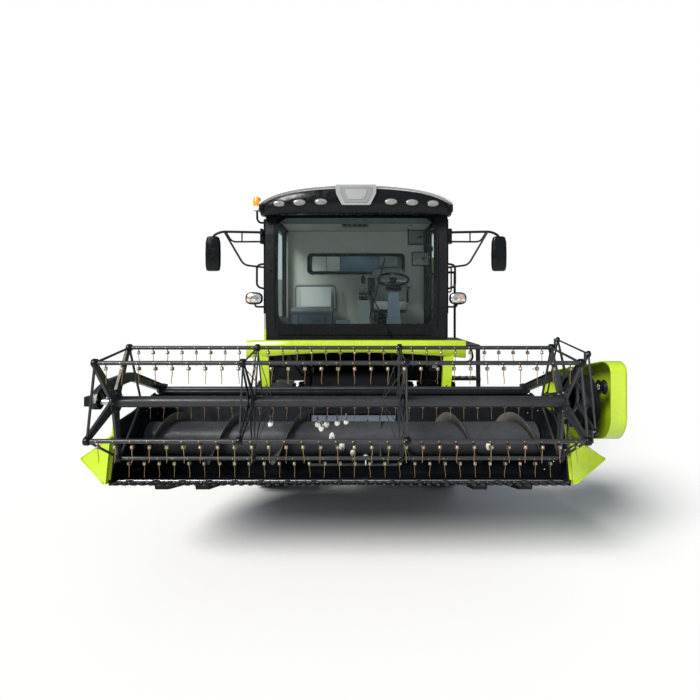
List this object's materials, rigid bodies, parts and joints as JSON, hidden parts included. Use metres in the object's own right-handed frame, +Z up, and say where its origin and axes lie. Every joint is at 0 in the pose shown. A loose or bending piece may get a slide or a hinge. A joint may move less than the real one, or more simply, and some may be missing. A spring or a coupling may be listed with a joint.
{
  "type": "combine harvester",
  "caption": "Self-propelled grain combine with a raised cutting header, feathering reel, feeder, cab, grain tank, swinging unloading auger and steered rear wheels.",
  "frame": {"origin": "on the ground under the middle of the overall box", "axes": "+Z up, the header at the front faces -Y, the machine's left side is +X"},
  "size_m": [4.86, 8.0036, 3.87],
  "materials": {
    "lime_paint": "gloss",
    "dark_paint": "satin",
    "grey_paint": "satin",
    "white_roof": "gloss",
    "bright_steel": "brushed",
    "iron": "cast",
    "tyre_rubber": "matte",
    "seat_fabric": "woven",
    "dark_plastic": "matte",
    "tinted_glass": "clear"
  },
  "bodies": {
    "machine": {"chassis_frame": "dark_paint", "threshing_body": "grey_paint", "straw_hood": "lime_paint", "rear_axle": "dark_paint", "grain_tank": "grey_paint", "engine_hood": "lime_paint", "engine_block": "iron", "wheel_arch_left": "lime_paint", "wheel_arch_right": "lime_paint", "cab_shell": "dark_paint", "windshield": "tinted_glass", "side_window": "tinted_glass", "rear_window": "tinted_glass", "cab_roof": "white_roof", "cab_base": "dark_paint", "front_band": "lime_paint", "driver_seat": "seat_fabric", "steering_column": "dark_plastic", "side_console": "grey_paint", "passenger_bench": "grey_paint", "platform": "dark_paint", "mirror_left": "dark_plastic", "mirror_right": "dark_plastic", "beacon": "dark_plastic"},
    "header": {"header_trough": "dark_paint", "cutter_bar": "bright_steel", "divider_left": "lime_paint", "divider_right": "lime_paint", "belt_cover": "lime_paint", "feeder_house": "dark_paint"},
    "auger": {"header_auger": "grey_paint"},
    "reel_arms_body": {"reel_arms": "dark_paint"},
    "reel": {"reel_rotor": "dark_paint"},
    "eccentric": {"eccentric_ring": "dark_paint"},
    "cab_door_body": {"cab_door": "dark_paint", "door_glass": "tinted_glass"},
    "unloader": {"unload_auger": "lime_paint"},
    "tie_rod_body": {"tie_rod": "bright_steel"},
    "tines_1": {"tine_bar_1": "bright_steel"},
    "tines_2": {"tine_bar_2": "bright_steel"},
    "tines_3": {"tine_bar_3": "bright_steel"},
    "tines_4": {"tine_bar_4": "bright_steel"},
    "tines_5": {"tine_bar_5": "bright_steel"},
    "lift_barrel_left_body": {"lift_barrel_left": "dark_paint"},
    "lift_rod_left_body": {"lift_rod_left": "bright_steel"},
    "front_wheel_left": {"front_left_tyre": "tyre_rubber", "front_left_rim": "lime_paint"},
    "rear_wheel_left": {"rear_left_tyre": "tyre_rubber", "rear_left_rim": "lime_paint"},
    "knuckle_left": {"steer_knuckle_left": "iron"},
    "side_door_left_body": {"side_door_left": "lime_paint"},
    "lift_barrel_right_body": {"lift_barrel_right": "dark_paint"},
    "lift_rod_right_body": {"lift_rod_right": "bright_steel"},
    "front_wheel_right": {"front_right_tyre": "tyre_rubber", "front_right_rim": "lime_paint"},
    "rear_wheel_right": {"rear_right_tyre": "tyre_rubber", "rear_right_rim": "lime_paint"},
    "knuckle_right": {"steer_knuckle_right": "iron"},
    "side_door_right_body": {"side_door_right": "lime_paint"}
  },
  "joints": [
    {"name": "header_lift", "type": "hinge", "parent": "machine", "child": "header", "pos_m": [0, -0.5, 1.6], "axis": [-1, 0, 0], "range_deg": [-16.5, 1.5]},
    {"name": "auger_spin", "type": "hinge", "parent": "header", "child": "auger", "pos_m": [-0.14, -2.69708, 1.11159], "axis": [1, 0, 0], "continuous": true},
    {"name": "reel_lift", "type": "hinge", "parent": "header", "child": "reel_arms_body", "pos_m": [-0.14, -2.1673, 1.51917], "axis": [-1, 0, 0], "range_deg": [0, 20]},
    {"name": "reel_spin", "type": "hinge", "parent": "reel_arms_body", "child": "reel", "pos_m": [-0.14, -3.517, 1.64], "axis": [1, 0, 0], "continuous": true},
    {"name": "eccentric_spin", "type": "hinge", "parent": "reel_arms_body", "child": "eccentric", "pos_m": [-0.14, -3.517, 1.71], "axis": [1, 0, 0], "continuous": true},
    {"name": "tine_bar_1_turn", "type": "hinge", "parent": "reel", "child": "tines_1", "pos_m": [-0.14, -3.97089, 1.43027], "axis": [1, 0, 0], "continuous": true},
    {"name": "tine_bar_2_turn", "type": "hinge", "parent": "reel", "child": "tines_2", "pos_m": [-0.14, -3.85672, 2.00686], "axis": [1, 0, 0], "continuous": true},
    {"name": "tine_bar_3_turn", "type": "hinge", "parent": "reel", "child": "tines_3", "pos_m": [-0.14, -3.27307, 2.07646], "axis": [1, 0, 0], "continuous": true},
    {"name": "tine_bar_4_turn", "type": "hinge", "parent": "reel", "child": "tines_4", "pos_m": [-0.14, -3.02652, 1.54288], "axis": [1, 0, 0], "continuous": true},
    {"name": "tine_bar_5_turn", "type": "hinge", "parent": "reel", "child": "tines_5", "pos_m": [-0.14, -3.4578, 1.14352], "axis": [1, 0, 0], "continuous": true},
    {"name": "lift_swing_left", "type": "hinge", "parent": "machine", "child": "lift_barrel_left_body", "pos_m": [0.38, -0.95, 0.5], "axis": [-1, 0, 0], "range_deg": [-21.58, 2.51]},
    {"name": "lift_stroke_left", "type": "slide", "parent": "lift_barrel_left_body", "child": "lift_rod_left_body", "axis": [0, -0.9434, 0.3317], "range_m": [-0.3412, 0.0365]},
    {"name": "front_wheel_left_spin", "type": "hinge", "parent": "machine", "child": "front_wheel_left", "pos_m": [1.11, -0.857, 0.715], "axis": [1, 0, 0], "continuous": true},
    {"name": "lift_swing_right", "type": "hinge", "parent": "machine", "child": "lift_barrel_right_body", "pos_m": [-0.38, -0.95, 0.5], "axis": [-1, 0, 0], "range_deg": [-21.58, 2.51]},
    {"name": "lift_stroke_right", "type": "slide", "parent": "lift_barrel_right_body", "child": "lift_rod_right_body", "axis": [0, -0.9434, 0.3317], "range_m": [-0.3412, 0.0365]},
    {"name": "front_wheel_right_spin", "type": "hinge", "parent": "machine", "child": "front_wheel_right", "pos_m": [-1.11, -0.857, 0.715], "axis": [1, 0, 0], "continuous": true},
    {"name": "steer_left", "type": "hinge", "parent": "machine", "child": "knuckle_left", "pos_m": [0.72, 2.15, 0.475], "axis": [0, 0, 1], "range_deg": [-35, 35]},
    {"name": "steer_right", "type": "hinge", "parent": "machine", "child": "knuckle_right", "pos_m": [-0.72, 2.15, 0.475], "axis": [0, 0, 1], "range_deg": [-35.5, 35.5]},
    {"name": "tie_rod_turn", "type": "hinge", "parent": "knuckle_left", "child": "tie_rod_body", "pos_m": [0.66, 2.36, 0.42], "axis": [0, 0, 1], "range_deg": [-35.5, 35.5]},
    {"name": "rear_wheel_left_spin", "type": "hinge", "parent": "knuckle_left", "child": "rear_wheel_left", "pos_m": [0.97, 2.15, 0.475], "axis": [1, 0, 0], "continuous": true},
    {"name": "side_door_left_lift", "type": "hinge", "parent": "machine", "child": "side_door_left_body", "pos_m": [1.38, 0.15, 2.092], "axis": [0, -1, 0], "range_deg": [0, 70]},
    {"name": "rear_wheel_right_spin", "type": "hinge", "parent": "knuckle_right", "child": "rear_wheel_right", "pos_m": [-0.97, 2.15, 0.475], "axis": [1, 0, 0], "continuous": true},
    {"name": "side_door_right_lift", "type": "hinge", "parent": "machine", "child": "side_door_right_body", "pos_m": [-1.38, 0.15, 2.092], "axis": [0, 1, 0], "range_deg": [0, 70]},
    {"name": "cab_door_swing", "type": "hinge", "parent": "machine", "child": "cab_door_body", "pos_m": [1.104, -0.44, 2.1], "axis": [0, 0, 1], "range_deg": [0, 75]},
    {"name": "unload_swing", "type": "hinge", "parent": "machine", "child": "unloader", "pos_m": [1.17, 0, 2.9206], "axis": [0, 0, -1], "range_deg": [0, 95]}
  ],
  "couplings": [
    {"joint": "eccentric_spin", "follows": "reel_spin", "ratio": 1},
    {"joint": "tine_bar_1_turn", "follows": "reel_spin", "ratio": -1},
    {"joint": "tine_bar_2_turn", "follows": "reel_spin", "ratio": -1},
    {"joint": "tine_bar_3_turn", "follows": "reel_spin", "ratio": -1},
    {"joint": "tine_bar_4_turn", "follows": "reel_spin", "ratio": -1},
    {"joint": "tine_bar_5_turn", "follows": "reel_spin", "ratio": -1},
    {"joint": "lift_swing_left", "follows": "header_lift", "ratio": 1.2716},
    {"joint": "lift_stroke_left", "follows": "header_lift", "m_per_rad": 1.164},
    {"joint": "lift_swing_right", "follows": "header_lift", "ratio": 1.2716},
    {"joint": "lift_stroke_right", "follows": "header_lift", "m_per_rad": 1.164},
    {"joint": "steer_right", "follows": "steer_left", "ratio": 1},
    {"joint": "tie_rod_turn", "follows": "steer_left", "ratio": -1}
  ]
}
